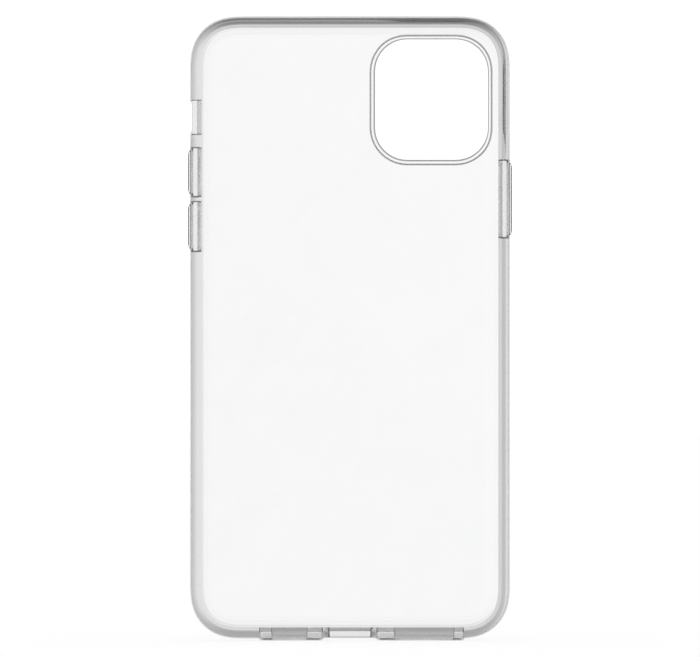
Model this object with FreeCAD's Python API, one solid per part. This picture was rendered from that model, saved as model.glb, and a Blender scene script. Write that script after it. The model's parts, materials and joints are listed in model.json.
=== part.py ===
"""Clear phone case: a flat see-through back in a soft bumper frame, with pressable button covers.

Frame: +Z up, towards the top of the phone. The open side, where the screen shows, faces -Y.
The origin is at the centre of the bottom of the bounding box. All sizes are in millimetres.

A wall section is drawn in two coordinates: s runs inwards from the outermost line of the wall,
and v runs from the outer face of the back (0) to the front rim (DEPTH).
"""

import FreeCAD
import Part

import math
import os

Vec = FreeCAD.Vector

# ---- Driving dimensions -------------------------------------------------------------------
PHONE_W = 75.7
PHONE_H = 150.9
PHONE_D = 8.3
SIDE_ALLOWANCE = 2.0  # phone side to the outermost line of the wall
WALL = 1.84
PANEL_T = 1.0
LIP_STAND = 0.9  # how far the front rim stands above the screen
CORNER_R = 12.6

CASE_W = PHONE_W + 2 * SIDE_ALLOWANCE
CASE_H = PHONE_H + 2 * SIDE_ALLOWANCE
DEPTH = PANEL_T + PHONE_D + LIP_STAND

# ---- Wall section -------------------------------------------------------------------------
BULGE_V = 4.6  # depth at which the wall stands out furthest
BULGE_R = 15.0
BACK_EDGE_R = 2.4
FRONT_EDGE_R = 2.4
INNER_FILLET_R = 4.25  # clears the phone's round side, whose radius is half the phone's thickness
LIP_EDGE_R = 0.15
LIP_SPLIT_V = 8.7  # the lip is the part of the wall in front of this depth
SEAM_S = 4.0  # where the back panel meets the bumper frame
MIDDLE_V = PANEL_T + PHONE_D / 2  # depth of the middle of the phone's side, where its buttons and holes are

# ---- Camera opening -----------------------------------------------------------------------
CAMERA_W = 28.1
CAMERA_H = 30.0
CAMERA_R = 8.0
CAMERA_FROM_SIDE = 5.5
CAMERA_FROM_TOP = 5.7
RING_W = 1.0
RING_PROUD = 0.8
RING_EDGE_R = 0.3

# ---- Button covers ------------------------------------------------------------------------
PAD_DEPTH = 3.8  # pad size along the depth of the case
PAD_PROUD = 0.5
PAD_INNER_S = 1.4
PAD_EDGE_R = 0.45
PAD_GRIP_R = 1.0  # corner radius of the pad's outline
WEB_W = 0.7
WEB_S = (0.45, 0.95)
VOLUME_UP_FROM_TOP = (33.4, 44.3)
VOLUME_DOWN_FROM_TOP = (46.8, 57.9)
SIDE_BUTTON_FROM_TOP = (36.5, 54.5)

# ---- Openings in the wall -----------------------------------------------------------------
MUTE_FROM_TOP = (20.9, 29.5)
MUTE_DEPTH = 4.8
PORT_W = 10.4
PORT_DEPTH = 5.4
MIC_X = (-19.5, -10.6)
SPEAKER_X = (11.0, 25.9)
SOUND_DEPTH = 3.0
FLARE = 0.55  # how much each side of an opening widens towards the outside
FLARE_S = 0.75  # depth below the outermost line at which the flare starts

# ---- Thickened pads round the sound openings ------------------------------------------------
BOSS_PROUD = 0.35
BOSS_X = ((-22.4, -6.9), (6.7, 28.2))
BOSS_V = (1.5, 8.5)
BOSS_END_SLOPE = 0.8
BOSS_SIDE_SLOPE = 0.35
BOSS_ROOT_S = 0.7
BOSS_R = 1.6

# ---- Places in the frame --------------------------------------------------------------------
BACK_Y = (DEPTH - RING_PROUD) / 2
SIDE_X = CASE_W / 2
Z_LOW = BOSS_PROUD
Z_TOP = Z_LOW + CASE_H
OVER = 1.0  # how far a cutting tool runs past the material


def depth_y(v):
    return BACK_Y - v


def from_top(distances):
    """Heights of the low and high end of something given by its distances below the top."""
    near, far = distances
    return Z_TOP - far, Z_TOP - near


def tangent_centre(distance, v):
    """s of the point at depth v that lies at a given distance from the centre of the wall's bulge."""
    return BULGE_R - math.sqrt(distance**2 - (BULGE_V - v) ** 2)


def arc_point(centre, radius, degrees):
    s, v = centre
    turn = math.radians(degrees)
    return s + radius * math.cos(turn), v + radius * math.sin(turn)


def arc(centre, radius, start, end):
    """Three (s, v) points of an arc: its start, middle and end."""
    return [arc_point(centre, radius, a) for a in (start, (start + end) / 2, end)]


def heading(centre, towards):
    return math.degrees(math.atan2(towards[1] - centre[1], towards[0] - centre[0]))


def section_face(parts):
    """A face from runs of (s, v) points: two points are a line and three are an arc."""
    edges = []
    for points in parts:
        spots = [Vec(-SIDE_X + s, depth_y(v), Z_LOW + CORNER_R) for s, v in points]
        if len(spots) == 3:
            edges.append(Part.Arc(*spots).toShape())
        elif spots[0].distanceToPoint(spots[1]) > 1e-6:
            edges.append(Part.LineSegment(*spots).toShape())
    return Part.Face(Part.Wire(edges))


def sweep_round(face):
    """Carries a section that lies at the foot of the left wall all the way round the case."""
    straight_z = CASE_H - 2 * CORNER_R
    straight_x = CASE_W - 2 * CORNER_R
    left, right = -SIDE_X + CORNER_R, SIDE_X - CORNER_R
    low, high = Z_LOW + CORNER_R, Z_TOP - CORNER_R
    runs = [
        (Vec(0, 0, straight_z), Vec(left, 0, high)),
        (Vec(straight_x, 0, 0), Vec(right, 0, high)),
        (Vec(0, 0, -straight_z), Vec(right, 0, low)),
        (Vec(-straight_x, 0, 0), Vec(left, 0, low)),
    ]
    pieces = []
    for run, corner in runs:
        pieces.append(face.extrude(run))
        face = face.translated(run)
        pieces.append(face.revolve(corner, Vec(0, 1, 0), 90))
        face = face.rotated(corner, Vec(0, 1, 0), 90)
    return pieces[0].multiFuse(pieces[1:]).removeSplitter()


def rounded_outline(a_low, a_high, b_low, b_high, radius, place):
    """A closed rounded rectangle. place(a, b) turns its two coordinates into a point."""
    diagonal = radius * (1 - math.sqrt(0.5))
    corners = [
        ((a_high - radius, b_low), (a_high - diagonal, b_low + diagonal), (a_high, b_low + radius)),
        ((a_high, b_high - radius), (a_high - diagonal, b_high - diagonal), (a_high - radius, b_high)),
        ((a_low + radius, b_high), (a_low + diagonal, b_high - diagonal), (a_low, b_high - radius)),
        ((a_low, b_low + radius), (a_low + diagonal, b_low + diagonal), (a_low + radius, b_low)),
    ]
    edges = []
    for number, corner in enumerate(corners):
        edges.append(Part.Arc(*[place(*p) for p in corner]).toShape())
        here, there = place(*corner[2]), place(*corners[(number + 1) % 4][0])
        if here.distanceToPoint(there) > 1e-6:
            edges.append(Part.LineSegment(here, there).toShape())
    return Part.Wire(edges)


def prism(wire, run):
    return Part.Face(wire).extrude(run)


def rounded_edges(solid, radius, wanted):
    return solid.makeFillet(radius, [e for e in solid.Edges if wanted(e)])


# ---- Back panel and camera ring ---------------------------------------------------------------
def wall_arcs():
    """Centres of the arcs of the wall section. Each one touches the bulge's outer or inner arc."""
    bulge = (BULGE_R, BULGE_V)
    inner_r = BULGE_R - WALL
    back = (tangent_centre(BULGE_R - BACK_EDGE_R, BACK_EDGE_R), BACK_EDGE_R)
    front_v = DEPTH - FRONT_EDGE_R
    front = (tangent_centre(BULGE_R - FRONT_EDGE_R, front_v), front_v)
    lip_v = DEPTH - LIP_EDGE_R
    lip = (tangent_centre(inner_r + LIP_EDGE_R, lip_v), lip_v)
    fillet_v = PANEL_T + INNER_FILLET_R
    fillet = (tangent_centre(inner_r - INNER_FILLET_R, fillet_v), fillet_v)
    return bulge, back, front, lip, fillet


def seam_on_fillet(fillet):
    """The point of the inner fillet where the back panel meets the bumper frame."""
    return SEAM_S, fillet[1] - math.sqrt(INNER_FILLET_R**2 - (SEAM_S - fillet[0]) ** 2)


def camera_outline(grow, v):
    """The outline of the camera opening, grown all round, at depth v."""
    x_high = SIDE_X - CAMERA_FROM_SIDE + grow
    z_high = Z_TOP - CAMERA_FROM_TOP + grow
    return rounded_outline(
        x_high - CAMERA_W - 2 * grow,
        x_high,
        z_high - CAMERA_H - 2 * grow,
        z_high,
        CAMERA_R + grow,
        lambda x, z: Vec(x, depth_y(v), z),
    )


def back_panel():
    """The flat sheet with its rolled-up edge, and the hole that the camera ring fills."""
    fillet = wall_arcs()[4]
    seam = seam_on_fillet(fillet)
    flat_s = fillet[0]
    rolled_edge = section_face(
        [
            [(SEAM_S, 0), (flat_s, 0)],
            [(flat_s, 0), (flat_s, PANEL_T)],
            arc(fillet, INNER_FILLET_R, -90, heading(fillet, seam)),
            [seam, (SEAM_S, 0)],
        ]
    )
    plate = prism(
        rounded_outline(
            -SIDE_X + flat_s,
            SIDE_X - flat_s,
            Z_LOW + flat_s,
            Z_TOP - flat_s,
            CORNER_R - flat_s,
            lambda x, z: Vec(x, BACK_Y, z),
        ),
        Vec(0, -PANEL_T, 0),
    )
    sheet = sweep_round(rolled_edge).fuse(plate).removeSplitter()
    hole = prism(camera_outline(RING_W, -OVER), Vec(0, -PANEL_T - 2 * OVER, 0))
    return sheet.cut(hole)


def camera_ring():
    """The rim of the camera opening, proud of the back so that the lenses stay off a table."""
    height = Vec(0, -PANEL_T - RING_PROUD, 0)
    outside = prism(camera_outline(RING_W, -RING_PROUD), height)
    ring = outside.cut(prism(camera_outline(0, -RING_PROUD), height))
    outer_y = depth_y(-RING_PROUD)
    return rounded_edges(ring, RING_EDGE_R, lambda e: abs(e.CenterOfMass.y - outer_y) < 1e-6)


# ---- Bumper frame and front lip -----------------------------------------------------------------
def whole_wall():
    """The full wall section, from the seam with the back panel to the front rim, swept round."""
    bulge, back, front, lip, fillet = wall_arcs()
    seam = seam_on_fillet(fillet)
    back_meets = heading(bulge, back) % 360
    front_meets = heading(bulge, front) % 360
    lip_meets = heading(bulge, lip) % 360
    fillet_meets = heading(bulge, fillet) % 360
    return sweep_round(
        section_face(
            [
                [(SEAM_S, 0), (back[0], 0)],
                arc(back, BACK_EDGE_R, 270, back_meets),
                arc(bulge, BULGE_R, back_meets, front_meets),
                arc(front, FRONT_EDGE_R, front_meets, 90),
                [(front[0], DEPTH), (lip[0], DEPTH)],
                arc(lip, LIP_EDGE_R, 90, lip_meets - 180),
                arc(bulge, BULGE_R - WALL, lip_meets, fillet_meets),
                arc(fillet, INNER_FILLET_R, fillet_meets, heading(fillet, seam) % 360),
                [seam, (SEAM_S, 0)],
            ]
        )
    )


def side_tool(side, heights, depth):
    """A flared tool that cuts an opening through the left (-1) or right (1) wall."""
    low, high = heights

    def outline(s, extra):
        return rounded_outline(
            MIDDLE_V - depth / 2 - extra,
            MIDDLE_V + depth / 2 + extra,
            low - extra,
            high + extra,
            depth / 2 - 0.3 + extra,
            lambda v, z: Vec(side * (SIDE_X - s), depth_y(v), z),
        )

    return flared(outline)


def bottom_tool(x_range, depth):
    """A flared tool that cuts an opening through the bottom wall."""
    low, high = x_range

    def outline(s, extra):
        return rounded_outline(
            low - extra,
            high + extra,
            MIDDLE_V - depth / 2 - extra,
            MIDDLE_V + depth / 2 + extra,
            depth / 2 - 0.3 + extra,
            lambda x, v: Vec(x, depth_y(v), Z_LOW + s),
        )

    return flared(outline)


def flared(outline):
    """A straight hole from inside the wall to FLARE_S, then a cone that opens to the outside."""
    inside = WALL + OVER
    straight = Part.makeLoft([outline(inside, 0), outline(FLARE_S, 0)], True, True)
    widest = FLARE / FLARE_S * (FLARE_S + OVER)
    mouth = Part.makeLoft([outline(FLARE_S, 0), outline(-OVER, widest)], True, True)
    return straight.fuse(mouth)


def boss(x_range):
    """A low thickened pad on the bottom wall, with sloping sides."""

    def outline(s, spread):
        return rounded_outline(
            x_range[0] - spread * BOSS_END_SLOPE,
            x_range[1] + spread * BOSS_END_SLOPE,
            BOSS_V[0] - spread * BOSS_SIDE_SLOPE,
            BOSS_V[1] + spread * BOSS_SIDE_SLOPE,
            BOSS_R,
            lambda x, v: Vec(x, depth_y(v), Z_LOW + s),
        )

    return Part.makeLoft([outline(-BOSS_PROUD, 0), outline(BOSS_ROOT_S, 1)], True, True)


def pad_window(side, heights, extra, s_from, s_to):
    """A straight block through the side wall, from s_from to s_to, round a button pad."""
    low, high = heights
    outline = rounded_outline(
        MIDDLE_V - PAD_DEPTH / 2 - extra,
        MIDDLE_V + PAD_DEPTH / 2 + extra,
        low - extra,
        high + extra,
        PAD_GRIP_R + extra,
        lambda v, z: Vec(side * (SIDE_X - s_from), depth_y(v), z),
    )
    return prism(outline, Vec(side * (s_from - s_to), 0, 0))


BUTTONS = {
    "volume_up": (-1, from_top(VOLUME_UP_FROM_TOP)),
    "volume_down": (-1, from_top(VOLUME_DOWN_FROM_TOP)),
    "side_button": (1, from_top(SIDE_BUTTON_FROM_TOP)),
}


def bumper_frame_and_lip():
    """The swept wall with its bosses and openings, split into the frame and the lip in front of it."""
    wall = whole_wall().multiFuse([boss(x) for x in BOSS_X])
    tools = [
        side_tool(-1, from_top(MUTE_FROM_TOP), MUTE_DEPTH),
        bottom_tool((-PORT_W / 2, PORT_W / 2), PORT_DEPTH),
        bottom_tool(MIC_X, SOUND_DEPTH),
        bottom_tool(SPEAKER_X, SOUND_DEPTH),
    ]
    for side, heights in BUTTONS.values():
        tools.append(pad_window(side, heights, WEB_W, -OVER, WALL + OVER))
    for tool in tools:
        wall = wall.cut(tool)
    corner = Vec(-SIDE_X - OVER, depth_y(LIP_SPLIT_V) - DEPTH, -OVER)
    front = Part.makeBox(CASE_W + 2 * OVER, DEPTH, Z_TOP + 2 * OVER, corner)
    return wall.cut(front), wall.common(front)


# ---- Button covers ------------------------------------------------------------------------------
def button_pad(side, heights):
    """The raised cover of one button, with its outer edges rounded."""
    pad = pad_window(side, heights, 0, PAD_INNER_S, -PAD_PROUD)
    outer_x = side * (SIDE_X + PAD_PROUD)
    return rounded_edges(pad, PAD_EDGE_R, lambda e: abs(e.CenterOfMass.x - outer_x) < 1e-6)


def button_web(side, heights):
    """The thin flexing ring that joins a button cover to the wall."""
    outer_s, inner_s = WEB_S
    return pad_window(side, heights, WEB_W, inner_s, outer_s).cut(pad_window(side, heights, 0, inner_s, outer_s))


def build():
    frame, lip = bumper_frame_and_lip()
    nodes = {
        "back_panel": back_panel(),
        "camera_ring": camera_ring(),
        "bumper_frame": frame,
        "front_lip": lip,
    }
    for name, (side, heights) in BUTTONS.items():
        stem = name.replace("_button", "")
        nodes[f"{stem}_button"] = button_pad(side, heights)
        nodes[f"{stem}_button_web"] = button_web(side, heights)
    return nodes


os.makedirs("parts", exist_ok=True)
for node, shape in build().items():
    solids = Part.makeCompound(shape.Solids) if len(shape.Solids) > 1 else shape.Solids[0]
    print(node, len(shape.Solids), "valid" if solids.isValid() else "INVALID", round(solids.Volume, 1))
    solids.exportStep(f"parts/{node}.step")
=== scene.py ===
import json
import math

import bmesh
import bpy
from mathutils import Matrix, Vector
from mathutils.geometry import delaunay_2d_cdt


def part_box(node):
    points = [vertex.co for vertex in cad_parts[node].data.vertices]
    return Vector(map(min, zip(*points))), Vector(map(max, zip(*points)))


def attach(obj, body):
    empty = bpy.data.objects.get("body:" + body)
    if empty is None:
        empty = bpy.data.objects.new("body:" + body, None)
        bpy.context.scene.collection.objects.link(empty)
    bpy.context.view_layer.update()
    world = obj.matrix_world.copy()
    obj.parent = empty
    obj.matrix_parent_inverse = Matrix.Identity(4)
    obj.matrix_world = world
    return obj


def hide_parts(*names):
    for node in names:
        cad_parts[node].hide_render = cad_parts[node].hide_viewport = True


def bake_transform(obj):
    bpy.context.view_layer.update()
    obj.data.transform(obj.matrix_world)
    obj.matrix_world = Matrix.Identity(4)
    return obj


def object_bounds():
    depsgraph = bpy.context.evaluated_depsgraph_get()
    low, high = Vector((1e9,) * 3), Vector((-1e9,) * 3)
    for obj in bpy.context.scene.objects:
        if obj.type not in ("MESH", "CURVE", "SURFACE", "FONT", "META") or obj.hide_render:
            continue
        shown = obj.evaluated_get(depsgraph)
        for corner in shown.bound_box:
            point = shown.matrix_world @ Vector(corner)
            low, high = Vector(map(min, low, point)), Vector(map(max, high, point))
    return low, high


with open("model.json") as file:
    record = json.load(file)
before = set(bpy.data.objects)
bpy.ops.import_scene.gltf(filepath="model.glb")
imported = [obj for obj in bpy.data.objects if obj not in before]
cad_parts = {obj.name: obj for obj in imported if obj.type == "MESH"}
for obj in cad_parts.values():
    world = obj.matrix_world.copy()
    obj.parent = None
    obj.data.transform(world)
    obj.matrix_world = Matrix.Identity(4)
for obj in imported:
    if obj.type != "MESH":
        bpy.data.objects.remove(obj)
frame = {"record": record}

# The looks of a clear flexible phone case. The case stands on its end: +Z is the phone's top, the
# open side faces -Y and the back faces +Y. Everything is in metres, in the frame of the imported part.
# A wall section has two coordinates: s runs inwards from the outermost line of the wall, and
# v runs from the outer face of the back (0) to the front rim (DEPTH).

CAD_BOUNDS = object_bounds()
MM = 0.001

# ---- Places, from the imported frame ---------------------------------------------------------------
BOSS_PROUD = 0.35 * MM
BACK_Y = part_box("back_panel")[1].y
FRONT_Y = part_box("front_lip")[0].y
SIDE_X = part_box("bumper_frame")[1].x
Z_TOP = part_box("bumper_frame")[1].z
Z_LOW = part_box("bumper_frame")[0].z + BOSS_PROUD
DEPTH = BACK_Y - FRONT_Y
HEIGHT = Z_TOP - Z_LOW
MIDDLE_Z = (Z_TOP + Z_LOW) / 2
MOUNTS = {mount["name"]: Vector(mount["pos_m"]) for mount in frame["record"]["mounts"]}

# ---- Wall section --------------------------------------------------------------------------------
WALL = 1.84 * MM
PANEL_T = 1.0 * MM
BULGE_V = 4.6 * MM
BULGE_R = 15.0 * MM
BACK_EDGE_R = 2.4 * MM
FRONT_EDGE_R = 2.4 * MM
INNER_FILLET_R = 4.25 * MM
LIP_EDGE_R = 0.15 * MM
SUPPORT = 0.4 * MM  # width of the flat strip that keeps the shading of a flat face flat
MIDDLE_V = BACK_Y - MOUNTS["charging_port_window"].y  # depth of the middle of the phone's side

# ---- Corners: the curvature ramps up, holds and ramps down, as on a moulded case -----------------
CORNER_REACH = 14.6 * MM
CORNER_RAMP = 0.32  # share of the corner over which the curvature rises
CORNER_STEPS = 30
CORNER_FINE_STEPS = 600
STRAIGHT_STEP = 2.0 * MM

# ---- Camera window -------------------------------------------------------------------------------
RING_W = 1.0 * MM
CAMERA_R = 8.0 * MM
RIM_OUTER_R = 0.1 * MM
RIM_FOOT_R = 0.4 * MM
WINDOW_BACK_R = 0.42 * MM
WINDOW_FRONT_R = 0.12 * MM

# ---- Cutting tools -------------------------------------------------------------------------------
PAST_FACE = 0.5 * MM  # how far the camera window's tool runs past both faces of the panel
PAST_INSIDE = 1.5 * MM  # how far the other tools run past the wall
PAST_OUTSIDE = 0.9 * MM
PAST_DEPTH = 1.0 * MM

# ---- Openings in the wall ------------------------------------------------------------------------
MUTE_LENGTH = 8.6 * MM
MUTE_DEPTH = 4.8 * MM
PORT_W = 10.4 * MM
PORT_DEPTH = 5.4 * MM
MIC_X = (-19.5 * MM, -10.6 * MM)
SPEAKER_X = (11.0 * MM, 25.9 * MM)
SOUND_DEPTH = 2.2 * MM
OPENING_R = 0.3 * MM
PORT_FLARE = 0.55 * MM
PORT_STRETCH = 2.5  # how much further the port's mouth flares lengthwise
SLIGHT_FLARE = 0.12 * MM  # flare of the other openings
MOUTH_DEPTH = 0.75 * MM
MOUTH_LEAD = 0.15 * MM  # straight run that keeps the shading of the flare off the rest of the hole
MOUTH_CURVE = 1.6  # 1 would be a straight cone
MOUTH_STEPS = 5
TOOL_FLARE = 2.2  # flare at the tool's outer end, in flares at the wall

# ---- Hollow of the wall's outside round the mute switch ------------------------------------------
SCOOP_DEPTH = 0.55 * MM
SCOOP_RAMP = 1.8 * MM
SCOOP_INSET = SCOOP_RAMP * 0.75  # how far inside the opening's ends the ramps start
SCOOP_RISE = 0.01 * MM  # takes the ramps just past the wall's surface
SCOOP_STEPS = 8

# ---- Thickened pads round the sound openings -----------------------------------------------------
BOSS_X = ((-22.4 * MM, -6.9 * MM), (6.7 * MM, 28.2 * MM))
BOSS_V = (3.4 * MM, 6.9 * MM)
BOSS_END_SLOPE = 0.8 * MM
BOSS_SIDE_SLOPE = 0.35 * MM
BOSS_ROOT = 0.7 * MM
BOSS_R = 1.0 * MM
BOSS_SOFT = 0.15 * MM  # size of the soft edge round the top
BOSS_SOFT_DROP = 0.03 * MM

# ---- Button covers -------------------------------------------------------------------------------
WINDOW_GAP = 0.7 * MM
WINDOW_EDGE = ((0.0, 0.3 * MM), (0.04 * MM, 0.15 * MM), (0.12 * MM, 0.05 * MM))  # (grow, s)
PAD_R = 0.35 * MM
PAD_LEAST_R = 0.2 * MM
PAD_SHY = 0.08 * MM  # how much less the cover stands out than its CAD solid
PAD_INNER_EDGE = ((0.35 * MM, 0.0), (0.12 * MM, 0.1 * MM), (0.0, 0.3 * MM))  # (shrink, height)
PAD_FLANK_S = 0.35 * MM  # the flanks are straight from the inner edge to here
PAD_TOP_S = 0.1 * MM  # and the rounded top starts here
PAD_TOP_STEPS = 8
PAD_END_TAPER = 1.5 * MM
PAD_SIDE_TAPER = 0.12 * MM
WEB_DEEP = 0.70 * MM  # depth of the groove at the wall
WEB_SHALLOW = 0.40 * MM  # depth of the groove at the cover
WEB_INSIDE = 1.35 * MM
WEB_BOW = 0.05 * MM
WEB_CLEARANCE = 0.02 * MM

# ---- Meshes --------------------------------------------------------------------------------------
OUTLINE_STEPS = 10
FILL_PITCH = 5.0 * MM
FILL_MARGIN = 0.6 * FILL_PITCH  # least distance from a fill point to the edge
MERGE_DISTANCE = 1e-7
SHARP_DEGREES = 30  # edges of the shell that turn more than this are shaded as creases
TOOL_SHARP_DEGREES = 35
WEB_SHARP_DEGREES = 50
FLAT_NORMAL = 0.99999

# ---- Material slots of the shell -----------------------------------------------------------------
PANEL_SLOT = 1
EDGE_SLOT = 2
# The rim slot, used by the rim and the camera window's bore, carries a dark tint that is painted shade.
RIM_SLOT = 3


def depth_y(v):
    return BACK_Y - v


# ---- Small geometry helpers ----------------------------------------------------------------------
def arc_points(centre, radius, start, end, steps):
    """Points of an arc in a section, from the start angle to the end angle in degrees."""
    points = []
    for step in range(steps + 1):
        turn = math.radians(start + (end - start) * step / steps)
        points.append((centre[0] + radius * math.cos(turn), centre[1] + radius * math.sin(turn)))
    return points


def heading(centre, towards):
    return math.degrees(math.atan2(towards[1] - centre[1], towards[0] - centre[0]))


def rounded_outline(a_low, a_high, b_low, b_high, radius):
    """Points of a rounded rectangle in two coordinates, the same number whatever its size."""
    centres = [
        (a_high - radius, b_low + radius, -90),
        (a_high - radius, b_high - radius, 0),
        (a_low + radius, b_high - radius, 90),
        (a_low + radius, b_low + radius, 180),
    ]
    points = []
    for a, b, start in centres:
        points += arc_points((a, b), radius, start, start + 90, OUTLINE_STEPS)
    return points


def add_ring(bm, points):
    return [bm.verts.new(point) for point in points]


def join_rings(bm, rings, material=0):
    """Quads between neighbouring closed rings that have the same number of points."""
    for ring, following in zip(rings, rings[1:]):
        count = len(ring)
        for i in range(count):
            j = (i + 1) % count
            face = bm.faces.new((ring[i], ring[j], following[j], following[i]))
            face.material_index = material


def fill_flat(bm, loop, material=0):
    """Fills a closed loop of vertices that all have the same y with triangles of an even size."""
    rim = [Vector((vert.co.x, vert.co.z)) for vert in loop]
    x_low, x_high = min(p.x for p in rim), max(p.x for p in rim)
    z_low, z_high = min(p.y for p in rim), max(p.y for p in rim)
    grid = []
    for i in range(1, int((x_high - x_low) / FILL_PITCH)):
        for j in range(1, int((z_high - z_low) / FILL_PITCH)):
            point = Vector((x_low + i * FILL_PITCH, z_low + j * FILL_PITCH))
            if min((point - p).length for p in rim) > FILL_MARGIN:
                grid.append(point)
    outline = list(range(len(rim)))
    inside_only, tolerance = 1, 1e-9
    places, _, faces, sources, _, _ = delaunay_2d_cdt(rim + grid, [], [outline], inside_only, tolerance)
    made = []
    for place, source in zip(places, sources):
        known = [i for i in source if i < len(rim)]
        made.append(loop[known[0]] if known else bm.verts.new((place.x, loop[0].co.y, place.y)))
    for face in faces:
        bm.faces.new([made[corner] for corner in face]).material_index = material


def finish_mesh(bm, name, sharp_degrees=TOOL_SHARP_DEGREES):
    """Closes a bmesh into a smooth-shaded object in the scene."""
    bmesh.ops.remove_doubles(bm, verts=bm.verts, dist=MERGE_DISTANCE)
    bmesh.ops.recalc_face_normals(bm, faces=bm.faces)
    mesh = bpy.data.meshes.new(name)
    bm.to_mesh(mesh)
    bm.free()
    mesh.shade_smooth()
    mesh.set_sharp_from_angle(angle=math.radians(sharp_degrees))
    obj = bpy.data.objects.new(name, mesh)
    bpy.context.scene.collection.objects.link(obj)
    return obj


def loft(name, outlines, place, material=0):
    """A closed solid through (points, height) outlines, which place turns into positions."""
    bm = bmesh.new()
    rings = [add_ring(bm, [place(a, b, height) for a, b in points]) for points, height in outlines]
    join_rings(bm, rings, material)
    bm.faces.new(rings[0])
    bm.faces.new(rings[-1])
    return finish_mesh(bm, name)


def combine(target, tools, operation):
    """Adds the tools to the target, or takes them away from it. Each tool is deleted after its use."""
    for tool in tools:
        for slot in target.data.materials:
            tool.data.materials.append(slot)
        modifier = target.modifiers.new("combine", "BOOLEAN")
        modifier.object = tool
        modifier.operation = operation
        modifier.solver = "EXACT"
        bpy.context.view_layer.objects.active = target
        bpy.ops.object.modifier_apply(modifier=modifier.name)
        bpy.data.objects.remove(tool)


# ---- The path round the case ---------------------------------------------------------------------
def corner_curve():
    """One corner, turning from +Z to +X: offsets from its start, with the outward normal at each point."""
    fine = CORNER_FINE_STEPS
    heads = [0.0]
    for i in range(fine):
        at = (i + 0.5) / fine
        heads.append(heads[-1] + min(1.0, at / CORNER_RAMP, (1 - at) / CORNER_RAMP))
    scale = math.pi / 2 / heads[-1]
    heads = [h * scale for h in heads]
    places = [(0.0, 0.0)]
    for before, after in zip(heads, heads[1:]):
        turn = (before + after) / 2
        x, z = places[-1]
        places.append((x + math.sin(turn), z + math.cos(turn)))
    size = CORNER_REACH / places[-1][0]
    stride = fine // CORNER_STEPS
    curve = []
    for i in range(0, fine + 1, stride):
        x, z = places[i]
        curve.append((x * size, z * size, -math.cos(heads[i]), math.sin(heads[i])))
    return curve


def outer_path():
    """Stations (x, z, normal x, normal z) clockwise round the outermost line, up the left wall first."""
    curve = corner_curve()
    half = HEIGHT / 2
    sides = [
        (-SIDE_X, -half, 0, 1, HEIGHT),
        (-SIDE_X, half, 1, 0, 2 * SIDE_X),
        (SIDE_X, half, 0, -1, HEIGHT),
        (SIDE_X, -half, -1, 0, 2 * SIDE_X),
    ]
    stations = []
    for x, z, along_x, along_z, length in sides:
        normal = (-along_z, along_x)
        run = length - 2 * CORNER_REACH
        steps = round(run / STRAIGHT_STEP)
        for i in range(steps):
            far = CORNER_REACH + run * i / steps
            stations.append((x + along_x * far, z + along_z * far, normal[0], normal[1]))
        start_x = x + along_x * (CORNER_REACH + run)
        start_z = z + along_z * (CORNER_REACH + run)
        for right, forward, normal_right, normal_forward in curve[:-1]:
            stations.append(
                (
                    start_x + along_z * right + along_x * forward,
                    start_z - along_x * right + along_z * forward,
                    along_z * normal_right + along_x * normal_forward,
                    -along_x * normal_right + along_z * normal_forward,
                )
            )
    return [(x, z + MIDDLE_Z, nx, nz) for x, z, nx, nz in stations]


# ---- The wall section ----------------------------------------------------------------------------
def tangent_centre(distance, v):
    """s of the point at depth v that lies at a given distance from the centre of the wall's bulge."""
    return BULGE_R - math.sqrt(distance**2 - (BULGE_V - v) ** 2)


def wall_section():
    """(s, v) points from the flat of the back, round the outside and the lip, to the flat of the inside."""
    bulge = (BULGE_R, BULGE_V)
    inner_r = BULGE_R - WALL
    back = (tangent_centre(BULGE_R - BACK_EDGE_R, BACK_EDGE_R), BACK_EDGE_R)
    front_v = DEPTH - FRONT_EDGE_R
    front = (tangent_centre(BULGE_R - FRONT_EDGE_R, front_v), front_v)
    lip_v = DEPTH - LIP_EDGE_R
    lip = (tangent_centre(inner_r + LIP_EDGE_R, lip_v), lip_v)
    fillet_v = PANEL_T + INNER_FILLET_R
    fillet = (tangent_centre(inner_r - INNER_FILLET_R, fillet_v), fillet_v)
    back_meets = heading(bulge, back) % 360
    front_meets = heading(bulge, front) % 360
    lip_meets = heading(bulge, lip) % 360
    fillet_meets = heading(bulge, fillet) % 360
    points = [(back[0] + SUPPORT, 0.0)]
    points += arc_points(back, BACK_EDGE_R, 270, back_meets, 18)
    points += arc_points(bulge, BULGE_R, back_meets, front_meets, 18)[1:]
    points += arc_points(front, FRONT_EDGE_R, front_meets, 90, 18)[1:]
    points += arc_points(lip, LIP_EDGE_R, 90, lip_meets - 180, 10)
    points += arc_points(bulge, inner_r, lip_meets, fillet_meets, 18)[1:]
    points += arc_points(fillet, INNER_FILLET_R, fillet_meets, 270, 26)[1:]
    points += [(fillet[0] + SUPPORT, PANEL_T)]
    return points


# ---- The shell -----------------------------------------------------------------------------------
def camera_outline(grow):
    low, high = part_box("camera_ring")
    inset = RING_W - grow
    return rounded_outline(low.x + inset, high.x - inset, low.z + inset, high.z - inset, CAMERA_R + grow)


def camera_loft(name, profile):
    """A solid whose outline is the camera window's, grown as its (grow, v) profile says."""
    outlines = [(camera_outline(grow), v) for grow, v in profile]
    return loft(name, outlines, lambda x, z, v: (x, depth_y(v), z), RIM_SLOT)


def camera_rim():
    """The rim to add on the back: soft outer edge, and a small hollow where it meets the panel."""
    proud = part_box("camera_ring")[1].y - BACK_Y
    profile = arc_points((RING_W - RIM_OUTER_R, RIM_OUTER_R - proud), RIM_OUTER_R, 270, 360, 5)
    profile += arc_points((RING_W + RIM_FOOT_R, -RIM_FOOT_R), RIM_FOOT_R, 180, 90, 12)
    profile += [(RING_W + RIM_FOOT_R, PANEL_T / 2)]
    return camera_loft("camera_rim", profile)


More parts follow.
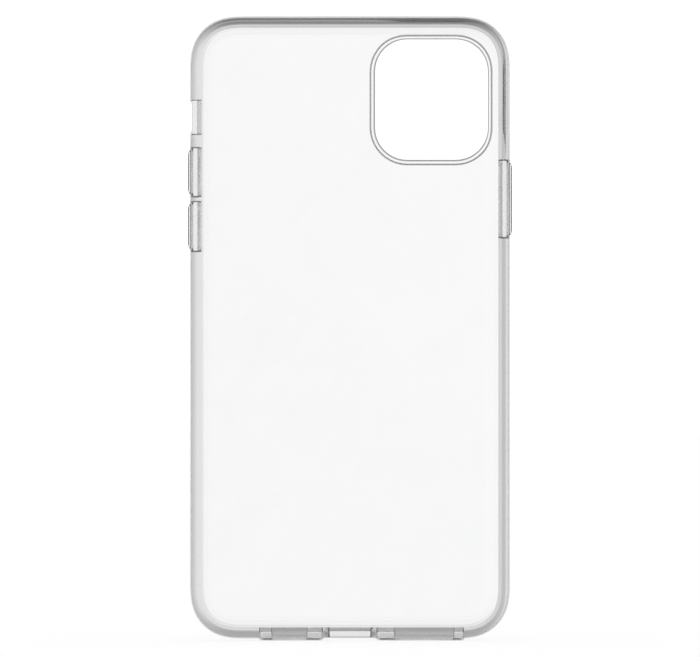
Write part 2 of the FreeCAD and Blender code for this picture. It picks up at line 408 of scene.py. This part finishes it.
def camera_window():
    """The cutting tool of the camera window, which leaves soft edges on both faces."""
    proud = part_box("camera_ring")[1].y - BACK_Y
    profile = [(WINDOW_BACK_R + PAST_FACE, -proud - PAST_FACE)]
    profile += arc_points((WINDOW_BACK_R, WINDOW_BACK_R - proud), WINDOW_BACK_R, 270, 180, 16)
    profile += arc_points((WINDOW_FRONT_R, PANEL_T - WINDOW_FRONT_R), WINDOW_FRONT_R, 180, 90, 5)
    profile += [(WINDOW_FRONT_R + PAST_FACE, PANEL_T + PAST_FACE)]
    return camera_loft("camera_window", profile)


def bare_shell():
    """The whole moulding before its openings are cut."""
    bm = bmesh.new()
    path = outer_path()
    rings = []
    for s, v in wall_section():
        rings.append(add_ring(bm, [(x - nx * s, depth_y(v), z - nz * s) for x, z, nx, nz in path]))
    join_rings(bm, rings)
    fill_flat(bm, rings[0])
    fill_flat(bm, rings[-1], PANEL_SLOT)
    return finish_mesh(bm, "clear_shell")


def mouth_profile(flare):
    """(grow, s) pairs of an opening's tool, which flares towards the outside in a smooth curve."""
    profile = [(0.0, WALL + PAST_INSIDE), (0.0, MOUTH_DEPTH + MOUTH_LEAD)]
    for step in range(MOUTH_STEPS + 1):
        along = step / MOUTH_STEPS
        profile.append((flare * along**MOUTH_CURVE, MOUTH_DEPTH * (1 - along)))
    profile.append((flare * TOOL_FLARE, -PAST_OUTSIDE))
    return profile


def opening_tool(name, a_range, b_range, radius, profile, place, stretch=1.0):
    """A cutting tool whose outline grows as its (grow, s) profile says, stretch times as much along a."""
    a_low, a_high = a_range
    b_low, b_high = b_range
    outlines = []
    for grow, s in profile:
        long = grow * stretch
        points = rounded_outline(a_low - long, a_high + long, b_low - grow, b_high + grow, radius + grow)
        outlines.append((points, s))
    return loft(name, outlines, place, EDGE_SLOT)


def scoop_ramp(end, way):
    """(z, s) points of one end of the hollow round the mute switch, from its floor out to the surface."""
    points = []
    for step in range(SCOOP_STEPS + 1):
        far = step / SCOOP_STEPS
        smooth = far * far * (3 - 2 * far)
        points.append((end + way * SCOOP_RAMP * far, SCOOP_DEPTH * (1 - smooth) - SCOOP_RISE * far))
    return points


def mute_scoop(low, high):
    """Hollows the outside of the left wall round the mute switch, with soft ends."""
    points = [(high + SCOOP_RAMP, -PAST_INSIDE), (low - SCOOP_RAMP, -PAST_INSIDE)]
    points += scoop_ramp(low, -1)[::-1] + scoop_ramp(high, 1)
    outlines = [(points, -PAST_DEPTH), (points, DEPTH + PAST_DEPTH)]
    return loft("mute_scoop", outlines, lambda z, s, v: on_side(-1)(z, v, s))


def on_side(side):
    return lambda z, v, s: (side * (SIDE_X - s), depth_y(v), z)


def on_bottom(x, v, s):
    return (x, depth_y(v), Z_LOW + s)


def across(depth):
    return (MIDDLE_V - depth / 2, MIDDLE_V + depth / 2)


def wall_openings():
    """Cutting tools for the mute switch, the charging port and the sound openings."""
    mute_z = MOUNTS["mute_switch_window"].z
    mute_range = (mute_z - MUTE_LENGTH / 2, mute_z + MUTE_LENGTH / 2)
    slight = mouth_profile(SLIGHT_FLARE)
    tools = [
        mute_scoop(mute_range[0] + SCOOP_INSET, mute_range[1] - SCOOP_INSET),
        opening_tool("mute", mute_range, across(MUTE_DEPTH), OPENING_R, slight, on_side(-1)),
    ]
    bottom = [
        ("port", (-PORT_W / 2, PORT_W / 2), PORT_DEPTH, mouth_profile(PORT_FLARE), PORT_STRETCH),
        ("mic", MIC_X, SOUND_DEPTH, slight, 1.0),
        ("speaker", SPEAKER_X, SOUND_DEPTH, slight, 1.0),
    ]
    for name, x_range, depth, profile, stretch in bottom:
        tools.append(opening_tool(name, x_range, across(depth), OPENING_R, profile, on_bottom, stretch))
    return tools


def bosses():
    """The low thickened pads on the bottom wall, with soft tops and sloping sides."""
    levels = [
        (-2 * BOSS_SOFT, -2 * BOSS_SOFT, -BOSS_PROUD),
        (-BOSS_SOFT, -BOSS_SOFT, -BOSS_PROUD + BOSS_SOFT_DROP),
        (0.0, 0.0, -BOSS_PROUD + BOSS_SOFT),
        (BOSS_END_SLOPE, BOSS_SIDE_SLOPE, BOSS_ROOT),
    ]
    v_low, v_high = BOSS_V
    tools = []
    for x_low, x_high in BOSS_X:
        outlines = []
        for ends, sides, s in levels:
            points = rounded_outline(x_low - ends, x_high + ends, v_low - sides, v_high + sides, BOSS_R)
            outlines.append((points, s))
        tools.append(loft("boss", outlines, on_bottom, EDGE_SLOT))
    return tools


BUTTONS = {"volume_up": -1, "volume_down": -1, "side": 1}


def button_ranges(name, grow):
    """Ranges along z and v of a button cover's outline, and the corner radius, all grown."""
    low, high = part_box(f"{name}_button")
    return (low.z - grow, high.z + grow), (BACK_Y - high.y - grow, BACK_Y - low.y + grow), PAD_R + grow / 4


def button_windows():
    """Cutting tools of the windows that the button covers and their webs sit in."""
    profile = [(0.0, WALL + PAST_INSIDE), *WINDOW_EDGE, (PAST_OUTSIDE, -PAST_OUTSIDE)]
    tools = []
    for name, side in BUTTONS.items():
        z_range, v_range, radius = button_ranges(name, WINDOW_GAP)
        tools.append(opening_tool(f"{name}_window", z_range, v_range, radius, profile, on_side(side)))
    return tools


def keep_flats_flat(mesh):
    """Gives the flat faces of the panel their exact normal, and the curved faces that run into them too."""
    flat = {}
    for polygon in mesh.polygons:
        if abs(polygon.normal.y) > FLAT_NORMAL and polygon.area > 0:
            for vertex in polygon.vertices:
                flat[vertex] = polygon.normal.copy()
    limit = math.cos(math.radians(SHARP_DEGREES))
    normals = [corner.normal.copy() for corner in mesh.loops]
    for polygon in mesh.polygons:
        for corner in polygon.loop_indices:
            level = flat.get(mesh.loops[corner].vertex_index)
            if level is not None and level.dot(polygon.normal) > limit:
                normals[corner] = level
    mesh.normals_split_custom_set(normals)


def make_shell(materials):
    """The whole moulding with its pads, rim and openings. Its slots take the materials in order."""
    shell = bare_shell()
    for material in materials:
        shell.data.materials.append(material)
    combine(shell, bosses() + [camera_rim()], "UNION")
    combine(shell, [camera_window()] + wall_openings() + button_windows(), "DIFFERENCE")
    shell.data.shade_smooth()
    shell.data.set_sharp_from_angle(angle=math.radians(SHARP_DEGREES))
    keep_flats_flat(shell.data)
    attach(shell, "case")
    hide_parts("back_panel", "bumper_frame", "front_lip", "camera_ring")
    return shell


# ---- Button covers and their webs ----------------------------------------------------------------
def make_cover(name, side):
    """A solid cover with straight flanks, soft edges all round, and ends that taper towards its top."""
    low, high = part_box(f"{name}_button")
    outer_s = SIDE_X - max(abs(low.x), abs(high.x))
    inner_s = SIDE_X - min(abs(low.x), abs(high.x))
    z_range, v_range, radius = button_ranges(name, 0)
    proud = -outer_s - PAD_SHY  # outer_s is negative, because the cover stands out of the wall
    outlines = []

    def ring(shrink_z, shrink_v, s):
        points = rounded_outline(
            z_range[0] + shrink_z,
            z_range[1] - shrink_z,
            v_range[0] + shrink_v,
            v_range[1] - shrink_v,
            max(PAD_LEAST_R, radius - min(shrink_z, shrink_v)),
        )
        outlines.append((points, s))

    for shrink, height in PAD_INNER_EDGE:
        ring(shrink, shrink, inner_s - height)
    ring(0, 0, PAD_FLANK_S)
    for step in range(PAD_TOP_STEPS + 1):
        turn = math.radians(90 * step / PAD_TOP_STEPS)
        shrink = 1 - math.cos(turn)
        s = PAD_TOP_S - (PAD_TOP_S + proud) * math.sin(turn)
        ring(PAD_END_TAPER * shrink, PAD_SIDE_TAPER * shrink, s)
    cover = loft(f"{name}_cover", outlines, on_side(side))
    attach(cover, name)
    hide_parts(f"{name}_button")
    return cover


def make_web(name, side):
    """The skin that slopes from deep in the wall up to the cover's flank."""
    bm = bmesh.new()
    inner_rim = WEB_CLEARANCE
    outer_rim = WINDOW_GAP - WEB_CLEARANCE
    halfway = (inner_rim + outer_rim) / 2
    profile = [
        (outer_rim, WEB_DEEP),
        (halfway, (WEB_DEEP + WEB_SHALLOW) / 2 + WEB_BOW),
        (inner_rim, WEB_SHALLOW),
        (inner_rim, WEB_INSIDE),
        (halfway, WEB_INSIDE + 2 * WEB_BOW),
        (outer_rim, WEB_INSIDE + 3 * WEB_BOW),
    ]
    rings = []
    for grow, s in profile:
        z_range, v_range, radius = button_ranges(name, grow)
        points = rounded_outline(z_range[0], z_range[1], v_range[0], v_range[1], radius)
        rings.append(add_ring(bm, [on_side(side)(z, v, s) for z, v in points]))
    join_rings(bm, rings + rings[:1])
    web = finish_mesh(bm, f"{name}_web_skin", WEB_SHARP_DEGREES)
    centre = sum(button_ranges(name, 0)[0]) / 2
    deep = Vector(on_side(side)(centre, MIDDLE_V, WEB_DEEP))
    shallow = Vector(on_side(side)(centre, MIDDLE_V, WEB_SHALLOW))
    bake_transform(web)
    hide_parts(f"{name}_button_web")
    return web


# ---- Materials -----------------------------------------------------------------------------------
class Nodes:
    """A short way to write node trees."""

    def __init__(self, tree):
        self.tree = tree

    def add(self, kind, settings=None, **inputs):
        node = self.tree.nodes.new(kind)
        for key, value in (settings or {}).items():
            setattr(node, key, value)
        for key, value in inputs.items():
            self.put(node, key.replace("_", " "), value)
        return node

    def put(self, node, key, value):
        socket = node.inputs[int(key) if key.isdigit() else key]
        if isinstance(value, bpy.types.NodeSocket):
            self.tree.links.new(value, socket)
        else:
            socket.default_value = value

    def math(self, operation, first, second=0.0):
        node = self.tree.nodes.new("ShaderNodeMath")
        node.operation = operation
        self.put(node, "0", first)
        self.put(node, "1", second)
        return node.outputs[0]

    def blend(self, first, second, share):
        """first where share is 0, second where it is 1."""
        rise = self.math("SUBTRACT", second, first)
        return self.math("ADD", first, self.math("MULTIPLY", rise, share))

    def ranged(self, value, low, high, out_low, out_high, kind="SMOOTHSTEP"):
        node = self.add("ShaderNodeMapRange", {"interpolation_type": kind})
        for key, item in zip("01234", (value, low, high, out_low, out_high)):
            self.put(node, key, item)
        return node.outputs[0]


PEEL = 0.02 * MM  # height of the moulded surface's unevenness
PANEL_PEEL = 0.01 * MM
CLEAR_ROUGH = 0.02
ROUGH_SPREAD = 0.05
IOR = 1.5


def moulded_surface(nodes, shader, bump_height, rough):
    """The faint unevenness of a moulded surface: flow, fine peel, and handling marks in the roughness."""
    place = nodes.add("ShaderNodeTexCoord").outputs["Object"]
    flow = nodes.add("ShaderNodeTexNoise", Vector=place, Scale=55.0, Detail=2.0).outputs[0]
    peel = nodes.add("ShaderNodeTexNoise", Vector=place, Scale=900.0, Detail=3.0).outputs[0]
    smears = nodes.add("ShaderNodeTexNoise", Vector=place, Scale=120.0, Detail=5.0, Distortion=0.6)
    marks = smears.outputs[0]
    height = nodes.math("ADD", nodes.math("MULTIPLY", flow, 0.8), nodes.math("MULTIPLY", peel, 0.05))
    bump = nodes.add("ShaderNodeBump", Strength=0.5, Distance=bump_height, Height=height)
    nodes.put(shader, "Roughness", nodes.ranged(marks, 0.45, 0.75, rough, rough + ROUGH_SPREAD))
    return place, marks, bump


def clear_material(name, light, dark, bump_height, dots=False, rough=CLEAR_ROUGH):
    """A clear plastic whose tint varies between two colours with the handling marks."""
    material = bpy.data.materials.new(name)
    material.use_nodes = True
    tree = material.node_tree
    shader = tree.nodes["Principled BSDF"]
    nodes = Nodes(tree)
    shader.inputs["IOR"].default_value = IOR
    shader.inputs["Transmission Weight"].default_value = 1.0
    place, marks, bump = moulded_surface(nodes, shader, bump_height, rough)
    tint = nodes.add("ShaderNodeMix", {"data_type": "RGBA"})
    tree.links.new(nodes.ranged(marks, 0.3, 0.8, 0.0, 1.0), tint.inputs[0])
    tint.inputs[6].default_value = light
    tint.inputs[7].default_value = dark
    tree.links.new(tint.outputs[2], shader.inputs["Base Color"])
    if dots:
        bump = microdots(nodes, place, bump)
    tree.links.new(bump.outputs[0], shader.inputs["Normal"])
    return material


DOT_PITCH = 0.70 * MM
DOT_RADIUS = 0.17  # in pitches
DOT_HEIGHT = 0.006 * MM


def microdots(nodes, place, bump):
    """A staggered lattice of tiny raised dots, which keeps the phone's back from clinging to the panel."""
    split = nodes.add("ShaderNodeSeparateXYZ", Vector=place)
    across_dots = nodes.math("DIVIDE", nodes.math("ADD", split.outputs[0], split.outputs[2]), DOT_PITCH)
    along_dots = nodes.math("DIVIDE", nodes.math("SUBTRACT", split.outputs[0], split.outputs[2]), DOT_PITCH)
    from_centre = []
    for value in (across_dots, along_dots):
        offset = nodes.math("SUBTRACT", nodes.math("FRACT", value), 0.5)
        from_centre.append(nodes.math("MULTIPLY", offset, offset))
    distance = nodes.math("SQRT", nodes.math("ADD", from_centre[0], from_centre[1]))
    dome = nodes.ranged(distance, 0.0, DOT_RADIUS * 2, 1.0, 0.0)
    below = bump.outputs[0]
    return nodes.add("ShaderNodeBump", Strength=1.0, Distance=DOT_HEIGHT, Height=dome, Normal=below)


# ---- Stage, lights and camera --------------------------------------------------------------------
EVEN_LIGHT = 1.12
LIGHT_EDGES = (25, 40, 55, 70, 110, 140)  # degrees from +Y, between which each side has one level
LIGHT_BLUR = 3
LIGHT = {
    "above": (0.96, 0.88, 0.68, 0.40, 0.40, 0.40, 0.90),
    "below": (0.95, 0.60, 0.60, 0.23, 0.40, 0.13, 0.90),
    "right": (0.97, 1.00, 0.75, 0.75, 0.65, 0.55, 0.90),
    "left": (0.95, 0.50, 0.65, 0.50, 0.50, 0.72, 0.90),
}
STRIP_LIGHT = 0.8  # level of the light straight from the left and the right
STRIP_EDGE = (0.98, 0.99)  # sideways part of the direction, over which the strip starts
FLOOR_R = 6.0
FLOOR_ALBEDO = (0.19, 0.20)
FLOOR_GLOW = 0.79
VIEW_W = 173.8 * MM
VIEW_DISTANCE = 3.0
VIEW_DROP = 0.26 * MM


def make_floor():
    bm = bmesh.new()
    bmesh.ops.create_circle(bm, cap_ends=True, segments=96, radius=FLOOR_R)
    floor = finish_mesh(bm, "floor")
    floor.location = (0, 0, CAD_BOUNDS[0][2])
    material = bpy.data.materials.new("pale_floor")
    material.use_nodes = True
    nodes = Nodes(material.node_tree)
    shader = material.node_tree.nodes["Principled BSDF"]
    grain = nodes.add("ShaderNodeTexNoise", Scale=3.0, Detail=2.0).outputs[0]
    ramp = nodes.ranged(grain, 0.3, 0.7, *FLOOR_ALBEDO)
    grey = nodes.add("ShaderNodeCombineColor", **{"0": ramp, "1": ramp, "2": ramp})
    nodes.put(shader, "Base Color", grey.outputs[0])
    shader.inputs["Roughness"].default_value = 0.9
    shader.inputs["Specular IOR Level"].default_value = 0.0
    shader.inputs["Emission Color"].default_value = (1.0, 1.0, 1.0, 1.0)
    shader.inputs["Emission Strength"].default_value = FLOOR_GLOW
    floor.data.materials.append(material)
    floor.visible_transmission = False
    floor.visible_glossy = False


def stepped_light(nodes, y, levels):
    """A light level that changes in soft steps with the angle between the ray and the case's depth."""
    ramp = nodes.add("ShaderNodeValToRGB", Fac=nodes.ranged(y, -1.0, 1.0, 0.0, 1.0, "LINEAR"))
    stops = ramp.color_ramp.elements
    stops.remove(stops[1])
    stops[0].position = 1.0
    stops[0].color = [levels[0]] * 3 + [1.0]
    for edge, before, after in zip(LIGHT_EDGES, levels, levels[1:]):
        for angle, level in ((edge - LIGHT_BLUR, before), (edge + LIGHT_BLUR, after)):
            stop = stops.new((math.cos(math.radians(angle)) + 1) / 2)
            stop.color = [level] * 3 + [1.0]
    return ramp.outputs["Color"]


def shaped_light(nodes, direction):
    """Light by world direction: bright along the case's depth, and dull in a belt round its edge."""
    split = nodes.add("ShaderNodeSeparateXYZ", Vector=direction)
    x, y, z = split.outputs
    x_part = nodes.math("MULTIPLY", x, x)
    z_part = nodes.math("MULTIPLY", z, z)
    upright = nodes.math("DIVIDE", z_part, nodes.math("ADD", nodes.math("ADD", x_part, z_part), 1e-6))
    sides = []
    for value, low, high in ((x, "left", "right"), (z, "below", "above")):
        low_light = stepped_light(nodes, y, LIGHT[low])
        high_light = stepped_light(nodes, y, LIGHT[high])
        sides.append(nodes.blend(low_light, high_light, nodes.math("GREATER_THAN", value, 0.0)))
    level = nodes.blend(sides[0], sides[1], upright)
    in_strip = nodes.ranged(nodes.math("ABSOLUTE", x), STRIP_EDGE[0], STRIP_EDGE[1], 0.0, 1.0)
    return nodes.blend(level, STRIP_LIGHT, in_strip)


def make_world():
    """Even light on the floor and for the camera, and a shaped field for what the clear plastic bends."""
    world = bpy.data.worlds.new("studio")
    bpy.context.scene.world = world
    world.use_nodes = True
    tree = world.node_tree
    nodes = Nodes(tree)
    background = tree.nodes["Background"]
    background.inputs["Color"].default_value = (1.0, 1.0, 1.0, 1.0)
    shaped = shaped_light(nodes, nodes.add("ShaderNodeTexCoord").outputs["Generated"])
    path = nodes.add("ShaderNodeLightPath")
    through_case = nodes.math("MAXIMUM", path.outputs["Is Transmission Ray"], path.outputs["Is Glossy Ray"])
    before_floor = nodes.math("LESS_THAN", path.outputs["Diffuse Depth"], 0.5)
    level = nodes.blend(EVEN_LIGHT, shaped, nodes.math("MULTIPLY", through_case, before_floor))
    tree.links.new(level, background.inputs["Strength"])


def make_camera():
    data = bpy.data.cameras.new("camera")
    data.sensor_width = 36.0
    data.lens = data.sensor_width * VIEW_DISTANCE / VIEW_W
    data.clip_end = 50.0
    camera = bpy.data.objects.new("camera", data)
    camera.location = (0, FRONT_Y - VIEW_DISTANCE, MIDDLE_Z - VIEW_DROP)
    camera.rotation_euler = (math.radians(90), 0, 0)
    bpy.context.scene.collection.objects.link(camera)
    bpy.context.scene.camera = camera


# ---- Everything together -------------------------------------------------------------------------
bumper_clear = clear_material("clear_bumper", (0.988, 0.989, 0.99, 1), (0.975, 0.977, 0.979, 1), PEEL)
panel_clear = clear_material(
    "clear_panel", (0.985, 0.986, 0.987, 1), (0.97, 0.972, 0.974, 1), PANEL_PEEL, dots=True
)
button_clear = clear_material(
    "clear_button", (0.85, 0.851, 0.852, 1), (0.83, 0.832, 0.834, 1), PEEL, rough=0.05
)
edge_clear = clear_material("clear_edge", (0.96, 0.961, 0.962, 1), (0.94, 0.942, 0.944, 1), PEEL, rough=0.4)
# The camera rim and the camera window's bore take this material. Their dark tint is painted shade that
# stands in for the darkness the clear rim shows; it is not a colour of the plastic.
rim_painted_shade = clear_material("painted_shade_rim", (0.26, 0.261, 0.262, 1), (0.24, 0.241, 0.242, 1), PEEL, rough=0.05)
make_shell([bumper_clear, panel_clear, edge_clear, rim_painted_shade])
for name, side in BUTTONS.items():
    make_cover(name, side).data.materials.append(button_clear)
    make_web(name, side).data.materials.append(bumper_clear)

make_floor()
make_world()
make_camera()

scene = bpy.context.scene
scene.view_settings.view_transform = "Standard"
scene.cycles.use_denoising = True
scene.cycles.max_bounces = 24
scene.cycles.transmission_bounces = 24
